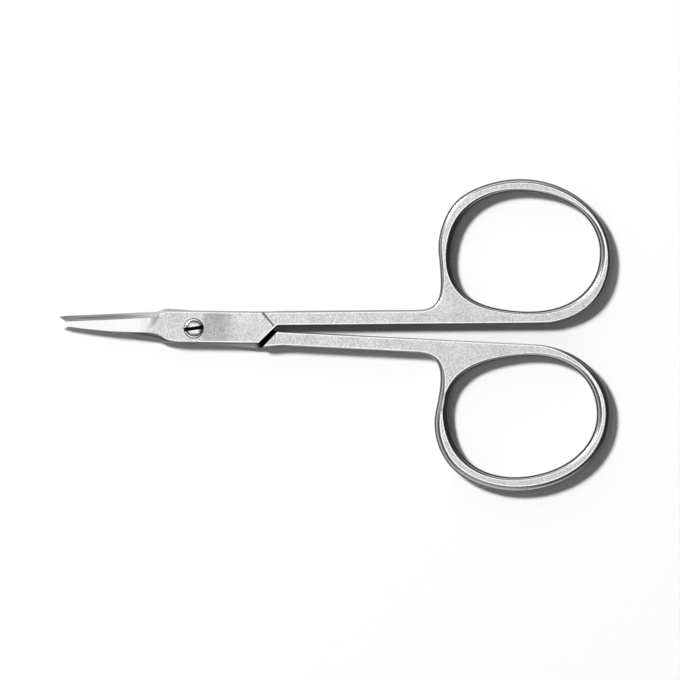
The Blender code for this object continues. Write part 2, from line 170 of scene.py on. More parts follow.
backdrop = add_node(glow_tree, "ShaderNodeMath", {0: in_metal.outputs[0],
                                                  1: seen_by.outputs["Is Camera Ray"]},
                    operation="MAXIMUM")
glow_tree.nodes["Background"].inputs["Color"].default_value = (1, 1, 1, 1)
glow_tree.links.new(backdrop.outputs[0], glow_tree.nodes["Background"].inputs["Strength"])
bpy.context.scene.world = world
bpy.context.scene.view_settings.view_transform = "Standard"


# The two halves: each is one stainless forging with its ring, shank, lap plate
# and blade, blasted to a satin face, polished round its edges and ground. It is
# drawn closed, ring at +Y, ride face at height zero; the back half is turned over.
rest_opening = math.radians(3.4)
thickness = 0.0030
half_thickness = thickness / 2
ride_gap = 0.00004
pivot_offset = 0.00027
blade_lean = math.radians(1.36)
# Blade: sides from its centre line, at the tip, the middle and the heel
blade_length = 0.0220
blade_heel = 0.0069
tip_rounding = 0.0011
edge_sides = (0.00050, 0.00089, 0.00138)
spine_sides = (0.00012, 0.00100, 0.00190)
spine_leans = (0.00006, 0.00024, 0.00088)
edge_land = 0.00006
grind_angle = math.radians(32.0)
grind_stop = 0.0057
grind_run_out = 0.0028
hollow_depth = 0.00006
hollow_margin = 0.00025
# Lap plate, and the arrow-shaped shoulder that the other half's plate meets
plate_width = 0.00536
plate_reach = 0.0133
arrow_length = 0.0026
heel_blend = 0.0027
lean_blend = 0.0048
shoulder_clearance = 0.00018
shoulder_length = 0.0022
shoulder_rounding = 0.0006
groove_width = 0.00030
groove_depth = 0.00014
# Shank, from the parting line of the closed handles
shank_side = 0.00248
handle_gap = 0.00008
# How far a wall leans in from mid height to a face
plate_lean = 0.00020
shank_lean = 0.00024
facing_lean = 0.00012
# Ring: where the two differ, 1 is the front half's size and -1 the back half's
ring_leans = {1: 0.00062, -1: 0.00095}
ring_lean_turn = math.radians(57.0)
hole_end_lean = 0.00095
hole_side_lean = 0.00050
ring_round_height = 0.00085
handle_lengths = {1: 0.0681, -1: 0.0686}
ring_lengths = {1: 0.0282, -1: 0.0289}
ring_widths = {1: 0.0235, -1: 0.0239}
ring_tilts = {1: math.radians(-8.0), -1: math.radians(-14.0)}
far_walls = {1: 0.0018, -1: 0.0023}
near_walls = {1: 0.0024, -1: 0.0026}
outer_walls = {1: 0.0021, -1: 0.0025}
inner_wall = 0.0021
# Fuller corners of a ring: how far each stands out, its turn and its spread, in degrees
ring_corners = {1: ((0.00085, -38.0, 30.0), (0.00038, 145.0, 18.0)),
                -1: ((0.00024, 50.0, 30.0), (0.00020, 150.0, 20.0))}
hole_squareness = 2.12
hole_corner = 0.0012
hole_corner_turn = math.radians(226.0)
hole_corner_spread = math.radians(32.0)
# Neck: the curve from the ring down to the shank, and how hard each end pulls it
neck_rise = 0.0115
neck_reach = 0.0035
neck_side_share = 0.69
neck_shank_share = 1.18
# How far the cutters reach past the steel
overrun = 0.0010
# The polished edge: a small round, then a shallow roll-off on to the face
edge_width = 0.00024
ring_edge_width = 0.00010
edge_round_share = 0.22
edge_round_drop = 0.00010
edge_turn_drop = 0.000020
edge_roll_drop = 0.000006
# Finish of a wall, as its points carry it; facing walls and ring insides take the deepest painted
# shade
belt_ground = 0.0
facing_wall_shade = 1.0
ring_inside = -1.0
# Steps along the outline
tip_steps = 12
blade_steps = 44
plate_steps = 12
corner_steps = 12
shank_steps = 40
ring_steps = 220
neck_steps = 48
outer_shank_steps = 30


def ease(start, end, x):
    # 0 before the start, 1 after the end, and a smooth climb between
    t = min(max((x - start) / (end - start), 0.0), 1.0)
    return t * t * (3 - 2 * t)


def spread(start, end, count):
    return [start + (end - start) * i / count for i in range(count + 1)]


def along_blade(values, x):
    # Parabola through the values at tip, middle and heel
    t = min(max((x + blade_length) / (blade_length - blade_heel), 0.0), 1.0)
    return (values[0] * (1 - t) * (1 - 2 * t) + values[1] * 4 * t * (1 - t)
            + values[2] * t * (2 * t - 1))


def tip_share(x):
    # 0 at the point, 1 from the end of its rounding on
    s = min(max((x + blade_length) / tip_rounding, 0.0), 1.0)
    return s * (2 - s)


def ground_edge(x):
    return along_blade(edge_sides, x) * tip_share(x)


def to_plate(value, plate_value, blend, x):
    # From the blade's value at its heel to the lap plate's, over the blend
    return value + (plate_value - value) * ease(-blade_heel, blend - blade_heel, x)


def edge_side(x):
    return to_plate(ground_edge(x), plate_width / 2, heel_blend, x)


def spine_side(x):
    return to_plate(along_blade(spine_sides, x) * tip_share(x), plate_width / 2, heel_blend, x)


def spine_lean(x):
    return to_plate(along_blade(spine_leans, x) * tip_share(x), plate_lean, lean_blend, x)


def rounded_corner(before, corner, after, radius, count):
    # Arc that touches both sides of a corner
    a = (Vector(before) - Vector(corner)).normalized()
    b = (Vector(after) - Vector(corner)).normalized()
    half_angle = a.angle(b) / 2
    centre = Vector(corner) + (a + b).normalized() * (radius / math.sin(half_angle))
    start = Vector(corner) + a * (radius / math.tan(half_angle)) - centre
    end = Vector(corner) + b * (radius / math.tan(half_angle)) - centre
    sweep = start.angle_signed(end)
    return [tuple(centre + Vector(turned(start, turn))) for turn in spread(0.0, -sweep, count)]


def tip_places():
    # Closer together towards the tip, which is round in plan
    return [-blade_length + tip_rounding * (i / tip_steps) ** 2 for i in range(tip_steps + 1)]


def meeting_point(a, b, level):
    # Where the line through two points crosses a level of Y
    t = (level - a[1]) / (b[1] - a[1])
    return (a[0] + (b[0] - a[0]) * t, level)


class Forging:
    # Where one half's features lie: +1 is the front half, -1 the back half

    def __init__(self, side):
        self.lean = -blade_lean * side
        self.shift = pivot_offset * side
        self.side = side
        self.tilt = ring_tilts[side]
        self.semi = (ring_lengths[side] / 2, ring_widths[side] / 2)
        c, s = math.cos(self.tilt), math.sin(self.tilt)
        self.ring_reach = math.hypot(self.semi[0] * c, self.semi[1] * s)
        self.ring_rise = math.hypot(self.semi[0] * s, self.semi[1] * c)
        self.parting = handle_gap / 2 + self.shift
        self.ring_centre = (handle_lengths[side] - self.ring_reach,
                            self.parting + self.ring_rise)

    def lap(self, x, y):
        # From the line of the blade and lap plate to the forging's own frame
        px, py = turned((x, y), self.lean)
        return (px, py + self.shift)

    def ring_point(self, angle):
        # An ellipse with fuller corners, which never crosses the parting line
        x, y = self.semi[0] * math.cos(angle), self.semi[1] * math.sin(angle)
        grow = 1.0
        for corner, turn, width in ring_corners[self.side]:
            away = (math.degrees(angle) - turn) % 360
            away = min(away, 360 - away)
            grow += corner * math.exp(-(away / width) ** 2) / math.hypot(x, y)
        x, y = turned((x * grow, y * grow), self.tilt)
        return (self.ring_centre[0] + x, max(self.ring_centre[1] + y, self.parting))

    def outline(self):
        # Outer outline at mid height, anticlockwise, and how each point's wall
        # stands: (x, y, lean, edge width, finish, roundness)
        rows = []

        def add(point, lean, edge=edge_width, finish=belt_ground, roundness=0.0):
            rows.append((point[0], point[1], lean, edge, finish, roundness))

        corner_x = plate_reach - arrow_length
        blade_xs = tip_places() + spread(-blade_length + tip_rounding, -blade_heel, blade_steps)[1:]
        heel_xs = spread(-blade_heel, lean_blend - blade_heel, blade_steps)[1:]
        for x in blade_xs + heel_xs:
            on_plate = ease(-blade_heel, heel_blend - blade_heel, x)
            add(self.lap(x, -spine_side(x)), spine_lean(x), edge_width * on_plate)
        corner = self.lap(corner_x, -plate_width / 2)
        for x in spread(heel_xs[-1], corner_x, plate_steps)[1:]:
            add(self.lap(x, -plate_width / 2), plate_lean)
        root = meeting_point(corner, self.lap(plate_reach, 0.0), self.parting)
        inner_end = (self.ring_centre[0], self.parting)
        for point in rounded_corner(corner, root, inner_end, shoulder_rounding, corner_steps):
            add(point, facing_lean, finish=facing_wall_shade)
        a, b = self.semi
        ring_lean = ring_leans[self.side]
        top_turn = math.atan2(b * math.cos(self.tilt), a * math.sin(self.tilt))
        arrive = top_turn - math.pi
        leave = top_turn + math.acos(neck_rise / self.ring_rise - 1)
        inner_xs = spread(root[0] + shoulder_rounding, self.ring_point(arrive)[0], shank_steps)
        for x in inner_xs[1:-1]:
            add((x, self.parting), facing_lean, finish=facing_wall_shade)
        for angle in spread(arrive, leave, ring_steps):
            on_ring = ease(arrive, arrive + ring_lean_turn, angle)
            add(self.ring_point(angle), facing_lean + (ring_lean - facing_lean) * on_ring,
                edge_width + (ring_edge_width - edge_width) * on_ring,
                finish=facing_wall_shade + (belt_ground - facing_wall_shade) * on_ring, roundness=on_ring)
        start = Vector(self.ring_point(leave))
        shank_y = self.parting + shank_side - handle_gap / 2
        end = Vector((self.ring_centre[0] - self.ring_reach - neck_reach, shank_y))
        heading = turned((-a * math.sin(leave), b * math.cos(leave)), self.tilt)
        pull_down = Vector(heading).normalized() * ((start.y - end.y) * neck_side_share)
        pull_in = Vector(((start.x - end.x) * neck_shank_share, 0.0))
        knots = (start, start + pull_down, end + pull_in, end)
        for t in spread(0.0, 1.0, neck_steps)[1:-1]:
            u = 1 - t
            shares = (u * u * u, 3 * u * u * t, 3 * u * t * t, t * t * t)
            point = sum((k * share for k, share in zip(knots, shares)), Vector((0, 0)))
            on_shank = ease(0.0, 1.0, t)
            add(point, ring_lean + (shank_lean - ring_lean) * on_shank,
                ring_edge_width + (edge_width - ring_edge_width) * on_shank,
                roundness=1.0 - on_shank)
        for x in spread(end.x, plate_reach + arrow_length / 2, outer_shank_steps):
            add((x, shank_y), shank_lean)
        for x in reversed(spread(heel_xs[-1], corner_x, plate_steps)[1:]):
            add(self.lap(x, plate_width / 2), plate_lean)
        for x in reversed(blade_xs[1:] + heel_xs):
            on_plate = ease(-blade_heel, heel_blend - blade_heel, x)
            add(self.lap(x, edge_side(x)), plate_lean * on_plate, edge_width * on_plate)
        return rows

    def hole(self):
        # Finger hole at mid height, clockwise: an ellipse made a little squarer
        left = self.ring_centre[0] - self.ring_reach + near_walls[self.side]
        right = self.ring_centre[0] + self.ring_reach - far_walls[self.side]
        low = self.parting + inner_wall
        high = self.ring_centre[1] + self.ring_rise - outer_walls[self.side]
        c, s = math.cos(self.tilt), math.sin(self.tilt)
        half_x, half_y = (right - left) / 2, (high - low) / 2
        b = math.sqrt((half_y ** 2 * c ** 2 - half_x ** 2 * s ** 2) / (c ** 4 - s ** 4))
        a = math.sqrt((half_x ** 2 - (b * s) ** 2) / c ** 2)
        rows = []
        for angle in spread(0.0, -math.tau, ring_steps)[:-1]:
            cosine, sine = math.cos(angle), math.sin(angle)
            x = math.copysign(a * abs(cosine) ** (2 / hole_squareness), cosine)
            y = math.copysign(b * abs(sine) ** (2 / hole_squareness), sine)
            away = (angle - hole_corner_turn) % math.tau
            away = min(away, math.tau - away)
            grow = 1 + hole_corner * math.exp(-(away / hole_corner_spread) ** 2) / math.hypot(x, y)
            x, y = turned((x * grow, y * grow), self.tilt)
            lean = hole_side_lean + (hole_end_lean - hole_side_lean) * cosine * cosine
            rows.append(((left + right) / 2 + x, (low + high) / 2 + y, lean, ring_edge_width,
                         ring_inside, 1.0))
        return rows


def new_object(name, bm, materials=()):
    mesh = bpy.data.meshes.new(name)
    bm.to_mesh(mesh)
    bm.free()
    item = bpy.data.objects.new(name, mesh)
    bpy.context.scene.collection.objects.link(item)
    for material in materials:
        mesh.materials.append(material)
    return item


def steel(name):
    # A bare stainless steel, which each finish below works on, and its coordinates
    material = bpy.data.materials.new(name)
    material.use_nodes = True
    tree = material.node_tree
    shader = tree.nodes["Principled BSDF"]
    shader.inputs["Metallic"].default_value = 1.0
    return material, tree, shader, add_node(tree, "ShaderNodeTexCoord").outputs


def noise(tree, vector, size, detail):
    # A random pattern from 0 to 1, with lumps of about the size given
    return add_node(tree, "ShaderNodeTexNoise", {"Vector": vector, "Scale": 1 / size,
                                                 "Detail": detail}).outputs["Fac"]


def vary(tree, shader, factor, dark, light, rough_low, rough_high, height=0.0):
    # Lets a pattern from 0 to 1 move the colour, the roughness and the surface,
    # and returns the colour for a finish that changes it further
    tone = add_node(tree, "ShaderNodeMix", {"Factor": factor, 6: colour(dark), 7: colour(light)},
                    data_type="RGBA")
    tree.links.new(tone.outputs[2], shader.inputs["Base Color"])
    rough = add_node(tree, "ShaderNodeMapRange", {"Value": factor, "To Min": rough_high,
                                                  "To Max": rough_low})
    tree.links.new(rough.outputs["Result"], shader.inputs["Roughness"])
    if height:
        bump = add_node(tree, "ShaderNodeBump", {"Height": factor, "Distance": height})
        tree.links.new(bump.outputs["Normal"], shader.inputs["Normal"])
    return tone.outputs[2]


def fill_ramp(ramp, stops):
    # A ramp is made with a stop at each end, which take the first and last colour
    for share, hex_code in stops[1:-1]:
        ramp.elements.new(share).color = colour(hex_code)
    ramp.elements[0].color = colour(stops[0][1])
    ramp.elements[-1].color = colour(stops[-1][1])


# Satin face: stainless steel blasted with fine glass beads. The dimples of the
# real one are about 0.05 mm across, too fine for the picture, so they are drawn
# 0.22 mm across, with a cloud of a few millimetres. Beside the screw the plate
# has a painted dark reflection.
bead_size = 0.00022
cloud_size = 0.0035
cloud_share = 0.25
dark_band_reach = 0.010
dark_band_stops = ((0.0, "#FFFFFF"), (0.12, "#FFFFFF"), (0.18, "#D8D8D8"), (0.40, "#DCDCDC"),
                (0.80, "#FFFFFF"), (1.0, "#FFFFFF"))
satin, tree, shader, place = steel("bead_blasted_stainless")
beads = noise(tree, place["Object"], size=bead_size, detail=2.0)
clouds = noise(tree, place["Object"], size=cloud_size, detail=3.0)
both = add_node(tree, "ShaderNodeMix", {"Factor": cloud_share, 2: beads, 3: clouds})
grain = add_node(tree, "ShaderNodeMapRange", {"Value": both.outputs[0], "From Min": 0.3,
                                              "From Max": 0.7})
blasted = vary(tree, shader, grain.outputs["Result"], "#A9A9A9", "#EBEBEB",
               rough_low=0.48, rough_high=0.62, height=0.000006)
# Painted dark reflection: a band 1.2 to 8 mm past the pivot, deepest from 1.8 to 4 mm
from_pivot = add_node(tree, "ShaderNodeSeparateXYZ", {"Vector": place["Object"]})
dark_band_share = add_node(tree, "ShaderNodeMapRange", {"Value": from_pivot.outputs["X"],
                                                     "From Max": dark_band_reach})
painted_dark_band = add_node(tree, "ShaderNodeValToRGB", {"Fac": dark_band_share.outputs["Result"]})
painted_dark_band.color_ramp.interpolation = "EASE"
fill_ramp(painted_dark_band.color_ramp, dark_band_stops)
tone = add_node(tree, "ShaderNodeMix", {"Factor": 1.0, 6: blasted, 7: painted_dark_band.outputs["Color"]},
                data_type="RGBA", blend_type="MULTIPLY")
tree.links.new(tone.outputs[2], shader.inputs["Base Color"])

# Polished edge: the same steel run over a soft wheel, which rounds it and
# leaves a bright line with hardly any grain.
polished, tree, shader, place = steel("polished_stainless_edge")
wheel_marks = noise(tree, place["Object"], size=bead_size, detail=2.0)
vary(tree, shader, wheel_marks, "#F0F0F0", "#FFFFFF", rough_low=0.12, rough_high=0.20)

# Belt-ground wall: scratches run along the outline, too fine for the picture and
# so drawn 0.12 mm wide and 4 mm long. The walls carry painted shade and painted dark
# reflection: grey where upright, deeper on the roundings, near black on the facing
# walls and on the roundings of the ring insides. "run" holds the way along, the height and the
# finish.
scratch_width = 0.00012
scratch_length = 0.004
belted, tree, shader, place = steel("belt_ground_wall_painted_shade")
run = add_node(tree, "ShaderNodeAttribute", attribute_name="run")
stretched = add_node(tree, "ShaderNodeMapping", {
    "Vector": run.outputs["Vector"], "Scale": (1 / scratch_length, 1 / scratch_width, 1.0)})
scratches = noise(tree, stretched.outputs["Vector"], size=1.0, detail=3.0)
ground = vary(tree, shader, scratches, "#A8A8A8", "#CCCCCC",
              rough_low=0.15, rough_high=0.22, height=0.000001)
run_parts = add_node(tree, "ShaderNodeSeparateXYZ", {"Vector": run.outputs["Vector"]})
finish_and_shade = run_parts.outputs["Z"]
slope = add_node(tree, "ShaderNodeSeparateXYZ", {"Vector": place["Normal"]})
upward = add_node(tree, "ShaderNodeMath", {0: slope.outputs["Z"]}, operation="ABSOLUTE")
# How far the normal points up tells them apart: 0 is an upright wall, 1 a flat face
steep = add_node(tree, "ShaderNodeMapRange", {"Value": upward.outputs[0], "From Min": 0.66,
                                              "From Max": 0.84, "To Min": 1.0, "To Max": 0.0})
rounding = add_node(tree, "ShaderNodeMapRange", {"Value": upward.outputs[0], "From Min": 0.10,
                                                 "From Max": 0.24})
# Painted shade: #8C8C8C where upright, #484848 on roundings, #181818 on facing walls and
# ring-inside roundings; nearly flat parts keep the ground tone, except on facing walls
painted_shade_share = add_node(tree, "ShaderNodeMath", {0: finish_and_shade, 1: steep.outputs["Result"]},
                  operation="MAXIMUM")
deep_shade_share = add_node(tree, "ShaderNodeMath", {0: finish_and_shade, 1: rounding.outputs["Result"]},
                  operation="MAXIMUM")
darkest_shade_share = add_node(tree, "ShaderNodeMath", {0: finish_and_shade}, operation="ABSOLUTE")
deep_shade_tone = add_node(tree, "ShaderNodeMix", {"Factor": darkest_shade_share.outputs[0], 6: colour("#484848"),
                                             7: colour("#181818")}, data_type="RGBA")
painted_shade_tone = add_node(tree, "ShaderNodeMix", {"Factor": deep_shade_share.outputs[0], 6: colour("#8C8C8C"),
                                             7: deep_shade_tone.outputs[2]}, data_type="RGBA")
tone = add_node(tree, "ShaderNodeMix", {"Factor": painted_shade_share.outputs[0], 6: ground,
                                        7: painted_shade_tone.outputs[2]}, data_type="RGBA")
tree.links.new(tone.outputs[2], shader.inputs["Base Color"])

# Ground bevel: the outer face of the blade off a fine wheel. Its marks run down
# to the cutting edge and are drawn coarser than real, 0.15 mm wide. Where it runs
# out on to the plate it is painted dark grey, as painted shade.
wheel_width = 0.00015
mark_shortness = 0.12
run_out_start = -0.0090
run_out_end = -0.0066
bevel, tree, shader, place = steel("wheel_ground_bevel")
across = add_node(tree, "ShaderNodeMapping", {
    "Vector": place["Object"], "Scale": (1 / wheel_width, mark_shortness / wheel_width, 1.0)})
marks = noise(tree, across.outputs["Vector"], size=1.0, detail=3.0)
wheeled = vary(tree, shader, marks, "#CACACA", "#E0E0E0",
               rough_low=0.40, rough_high=0.50, height=0.000003)
from_pivot = add_node(tree, "ShaderNodeSeparateXYZ", {"Vector": place["Object"]})
# Painted shade: from 9 to 6.6 mm before the pivot the bevel turns to #9C9C9C
run_out_shade = add_node(tree, "ShaderNodeMapRange", {"Value": from_pivot.outputs["X"],
                                                "From Min": run_out_start,
                                                "From Max": run_out_end})
tone = add_node(tree, "ShaderNodeMix", {"Factor": run_out_shade.outputs["Result"], 6: wheeled,
                                        7: colour("#9C9C9C")}, data_type="RGBA")
tree.links.new(tone.outputs[2], shader.inputs["Base Color"])

# Ride face: hollow-ground along the blade, with long streaks drawn 0.15 mm wide,
# coarser than real. It is never blasted or buffed. It carries painted shade:
# deeper towards the tip, and black at the shoulder.
streak_width = 0.00015
streak_length = 0.006
ride_shade_stops = ((0.0, "#A8A8A8"), (0.25, "#D6D6D6"), (0.42, "#FFFFFF"), (0.905, "#FFFFFF"),
              (0.93, "#101010"), (1.0, "#101010"))
ride, tree, shader, place = steel("hollow_ground_ride_face")
lengthwise = add_node(tree, "ShaderNodeMapping", {
    "Vector": place["Object"], "Scale": (1 / streak_length, 1 / streak_width, 1.0)})
streaks = noise(tree, lengthwise.outputs["Vector"], size=1.0, detail=4.0)
from_tip = add_node(tree, "ShaderNodeSeparateXYZ", {"Vector": place["Object"]})
length_share = add_node(tree, "ShaderNodeMapRange", {"Value": from_tip.outputs["X"],
                                                     "From Min": -blade_length,
                                                     "From Max": plate_reach})
# Painted shade along the blade: grey at the tip, white over the middle, black from the shoulder on
ride_shade_zones = add_node(tree, "ShaderNodeValToRGB", {"Fac": length_share.outputs["Result"]})
fill_ramp(ride_shade_zones.color_ramp, ride_shade_stops)
streaked = vary(tree, shader, streaks, "#808080", "#FFFFFF",
                rough_low=0.34, rough_high=0.46, height=0.000005)
tone = add_node(tree, "ShaderNodeMix", {"Factor": 1.0, 6: streaked, 7: ride_shade_zones.outputs["Color"]},
                data_type="RGBA", blend_type="MULTIPLY")
tree.links.new(tone.outputs[2], shader.inputs["Base Color"])

# Bores and screw slot: cut after the blasting, and painted near black inside, as painted shade.
milled_painted_shade, tree, shader, place = steel("milled_stainless_painted_shade")
chatter = noise(tree, place["Object"], size=bead_size, detail=2.0)
vary(tree, shader, chatter, "#040404", "#101010", rough_low=0.45, rough_high=0.60)

# Line groove: a small V across the face, cut by the mill; its flanks are painted a little deeper
# than the satin face, as painted shade.
groove_painted_shade, tree, shader, place = steel("line_groove_painted_shade")
tool_marks = noise(tree, place["Object"], size=bead_size, detail=2.0)
vary(tree, shader, tool_marks, "#8C8C8C", "#B4B4B4", rough_low=0.40, rough_high=0.55)


wall_height_shares = (0.0, 0.18, 0.36, 0.5, 0.6, 0.7, 0.8, 0.88, 0.94, 1.0)
edge_round_steps = 6
edge_roll_steps = 5


def wall_section():
    # Points up the wall: (share of the lean, share of the edge width, height)
    points = []
    low = half_thickness - edge_round_drop
    turn = half_thickness - edge_turn_drop
    roll = half_thickness - edge_roll_drop
    for share in wall_height_shares:
        points.append(((low * share / half_thickness) ** 2, 0.0, low * share))
    low_lean = points[-1][0]
    top_lean = low_lean + 2 * low * (turn - low) / half_thickness ** 2
    # The round leaves the wall at the wall's own slope
    for t in spread(0.0, 1.0, edge_round_steps)[1:]:
        a, b, c = (1 - t) ** 2, 2 * t * (1 - t), t * t
        points.append((a * low_lean + (b + c) * top_lean, c * edge_round_share,
                       a * low + b * turn + c * roll))
    for share in spread(edge_round_share, 1.0, edge_roll_steps)[1:]:
        left = (1 - share) / (1 - edge_round_share)
        points.append((top_lean, share, half_thickness - edge_roll_drop * left * left))
    lower = [(s, e, -z) for s, e, z in points[1:]]
    return list(reversed(lower)) + points


# The wall follows its outline by one rule, so a node tree makes it: every point
# of the path carries the section, moved inward by its own lean and edge width.
wall_tree = bpy.data.node_groups.new("forged_wall", "GeometryNodeTree")
for name, kind in (("Path", "NodeSocketGeometry"), ("Section", "NodeSocketObject"),
                   ("Seam width", "NodeSocketFloat"), ("Edge share", "NodeSocketFloat"),
                   ("Wall finish", "NodeSocketMaterial"), ("Edge finish", "NodeSocketMaterial")):
    wall_tree.interface.new_socket(name, in_out="INPUT", socket_type=kind)
wall_tree.interface.new_socket("Wall", in_out="OUTPUT", socket_type="NodeSocketGeometry")
given = add_node(wall_tree, "NodeGroupInput").outputs
section = add_node(wall_tree, "GeometryNodeObjectInfo", {"Object": given["Section"]})
path_size = add_node(wall_tree, "GeometryNodeAttributeDomainSize", {"Geometry": given["Path"]})
section_size = add_node(wall_tree, "GeometryNodeAttributeDomainSize",
                        {"Geometry": section.outputs["Geometry"]})
sheet = add_node(wall_tree, "GeometryNodeMeshGrid",
                 {"Vertices X": path_size.outputs["Point Count"],
                  "Vertices Y": section_size.outputs["Point Count"]})
index = add_node(wall_tree, "GeometryNodeInputIndex")
column = add_node(wall_tree, "FunctionNodeIntegerMath",
                  {0: index.outputs[0], 1: section_size.outputs["Point Count"]},
                  operation="DIVIDE_FLOOR")
row = add_node(wall_tree, "FunctionNodeIntegerMath",
               {0: index.outputs[0], 1: section_size.outputs["Point Count"]},
               operation="MODULO")
position = add_node(wall_tree, "GeometryNodeInputPosition")


def sampled(geometry, value, data_type, at):
    return add_node(wall_tree, "GeometryNodeSampleIndex",
                    {"Geometry": geometry, "Value": value, "Index": at},
                    data_type=data_type, domain="POINT", clamp=True).outputs["Value"]


def named(attribute, data_type):
    return add_node(wall_tree, "GeometryNodeInputNamedAttribute", {"Name": attribute},
                    data_type=data_type).outputs["Attribute"]


base = sampled(given["Path"], position.outputs[0], "FLOAT_VECTOR", column.outputs[0])
inward = sampled(given["Path"], named("inward", "FLOAT_VECTOR"), "FLOAT_VECTOR",
                 column.outputs[0])
lean, edge, finish, roundness, along = [
    sampled(given["Path"], named(key, "FLOAT"), "FLOAT", column.outputs[0])
    for key in ("lean", "edge", "finish", "roundness", "along")]
rounded = sampled(section.outputs["Geometry"], named("rounded", "FLOAT"), "FLOAT",
                  row.outputs[0])
shares = add_node(wall_tree, "ShaderNodeSeparateXYZ",
                  {"Vector": sampled(section.outputs["Geometry"], position.outputs[0],
                                     "FLOAT_VECTOR", row.outputs[0])})
lean_share = add_node(wall_tree, "ShaderNodeMix",
                      {0: roundness, 2: shares.outputs["X"], 3: rounded})
leaning = add_node(wall_tree, "ShaderNodeMath", {0: lean, 1: lean_share.outputs[0]},
                   operation="MULTIPLY")
inset = add_node(wall_tree, "ShaderNodeMath",
                 {0: edge, 1: shares.outputs["Y"], 2: leaning.outputs[0]},
                 operation="MULTIPLY_ADD")
height = add_node(wall_tree, "ShaderNodeCombineXYZ", {"Z": shares.outputs["Z"]})
foot = add_node(wall_tree, "ShaderNodeVectorMath", {0: base, 1: height.outputs[0]},
                operation="ADD")
moved = add_node(wall_tree, "ShaderNodeVectorMath", {0: inward, "Scale": inset.outputs[0]},
                 operation="SCALE")
spot = add_node(wall_tree, "ShaderNodeVectorMath",
                {0: foot.outputs["Vector"], 1: moved.outputs["Vector"]}, operation="ADD")
placed = add_node(wall_tree, "GeometryNodeSetPosition",
                  {"Geometry": sheet.outputs["Mesh"], "Position": spot.outputs["Vector"]})
run_value = add_node(wall_tree, "ShaderNodeCombineXYZ",
                     {"X": along, "Y": shares.outputs["Z"], "Z": finish})
run_at_points = add_node(wall_tree, "GeometryNodeFieldOnDomain", {"Value": run_value.outputs[0]},
                         data_type="FLOAT_VECTOR", domain="POINT")
with_run = add_node(wall_tree, "GeometryNodeStoreNamedAttribute",
                    {"Geometry": placed.outputs["Geometry"], "Name": "run",
                     "Value": run_at_points.outputs[0]},
                    data_type="FLOAT_VECTOR", domain="CORNER")
share_at_points = add_node(wall_tree, "GeometryNodeFieldOnDomain",
                           {"Value": shares.outputs["Y"]}, data_type="FLOAT", domain="POINT")
in_edge = add_node(wall_tree, "GeometryNodeStoreNamedAttribute",
                   {"Geometry": with_run.outputs["Geometry"], "Name": "edge_share",
                    "Value": share_at_points.outputs[0]}, data_type="FLOAT", domain="FACE")
closed = add_node(wall_tree, "GeometryNodeMergeByDistance",
                  {"Geometry": in_edge.outputs["Geometry"], "Distance": given["Seam width"]})
all_wall = add_node(wall_tree, "GeometryNodeSetMaterial",
                    {"Geometry": closed.outputs["Geometry"], "Material": given["Wall finish"]})
on_edge = add_node(wall_tree, "FunctionNodeCompare",
                   {"A": named("edge_share", "FLOAT"), "B": given["Edge share"]},
                   data_type="FLOAT", operation="GREATER_THAN")
edged = add_node(wall_tree, "GeometryNodeSetMaterial",
                 {"Geometry": all_wall.outputs["Geometry"], "Selection": on_edge.outputs[0],
                  "Material": given["Edge finish"]})
real = add_node(wall_tree, "GeometryNodeRealizeInstances",
                {"Geometry": edged.outputs["Geometry"]})
add_node(wall_tree, "NodeGroupOutput", {"Wall": real.outputs["Geometry"]})

# A ring's section is an arc for its top and bottom 0.85 mm
section_mesh = bpy.data.meshes.new("wall_section")
section_points = wall_section()
section_mesh.from_pydata(section_points, [], [])
rounded_shares = []
for point in section_points:
    climb = (abs(point[2]) - half_thickness + ring_round_height) / ring_round_height
    rounded_shares.append(1 - math.sqrt(max(1 - max(climb, 0.0) ** 2, 0.0)))
section_mesh.attributes.new("rounded", "FLOAT", "POINT").data.foreach_set("value", rounded_shares)
section_item = bpy.data.objects.new("wall_section", section_mesh)
least_mitre = 0.6
seam_width = 0.000001


def wall_path(name, rows):
    # The outline as a run of points, the first one repeated at its end
    count = len(rows)
    path = bpy.data.meshes.new(name)
    path.from_pydata([(row[0], row[1], 0.0) for row in rows + rows[:1]],
                     [(i, i + 1) for i in range(count)], [])
    inward, along = [], [0.0]
    for i, row in enumerate(rows):
        here, after = Vector(row[:2]), Vector(rows[(i + 1) % count][:2])
        d1 = (here - Vector(rows[i - 1][:2])).normalized()
        d2 = (after - here).normalized()
        n1, n2 = Vector((-d1.y, d1.x)), Vector((-d2.y, d2.x))
        mitre = (n1 + n2).normalized()
        mitre /= max(mitre.dot(n1), least_mitre)
        inward.append((mitre.x, mitre.y, 0.0))
        along.append(along[-1] + (after - here).length)
    inward.append(inward[0])
    path.attributes.new("inward", "FLOAT_VECTOR", "POINT").data.foreach_set(
        "vector", [v for vector in inward for v in vector])
    path.attributes.new("along", "FLOAT", "POINT").data.foreach_set("value", along)
    for place, key in enumerate(("lean", "edge", "finish", "roundness"), start=2):
        values = [row[place] for row in rows + rows[:1]]
        path.attributes.new(key, "FLOAT", "POINT").data.foreach_set("value", values)
    return path


def evaluated_mesh(item):
    graph = bpy.context.evaluated_depsgraph_get()
    return bpy.data.meshes.new_from_object(item.evaluated_get(graph))


def wall(name, rows):
    item = bpy.data.objects.new(name, wall_path(name, rows))
    bpy.context.scene.collection.objects.link(item)
    modifier = item.modifiers.new("forged_wall", "NODES")
    modifier.node_group = wall_tree
    wanted = {"Section": section_item, "Seam width": seam_width,
              "Edge share": edge_round_share / 2, "Wall finish": belted,
              "Edge finish": polished}
    for socket in wall_tree.interface.items_tree:
        if socket.name in wanted:
            modifier[socket.identifier] = wanted[socket.name]
    made = evaluated_mesh(item)
    bpy.data.objects.remove(item)
    for face in made.polygons:
        face.material_index = 1 if made.materials[face.material_index] == polished else 0
    return made


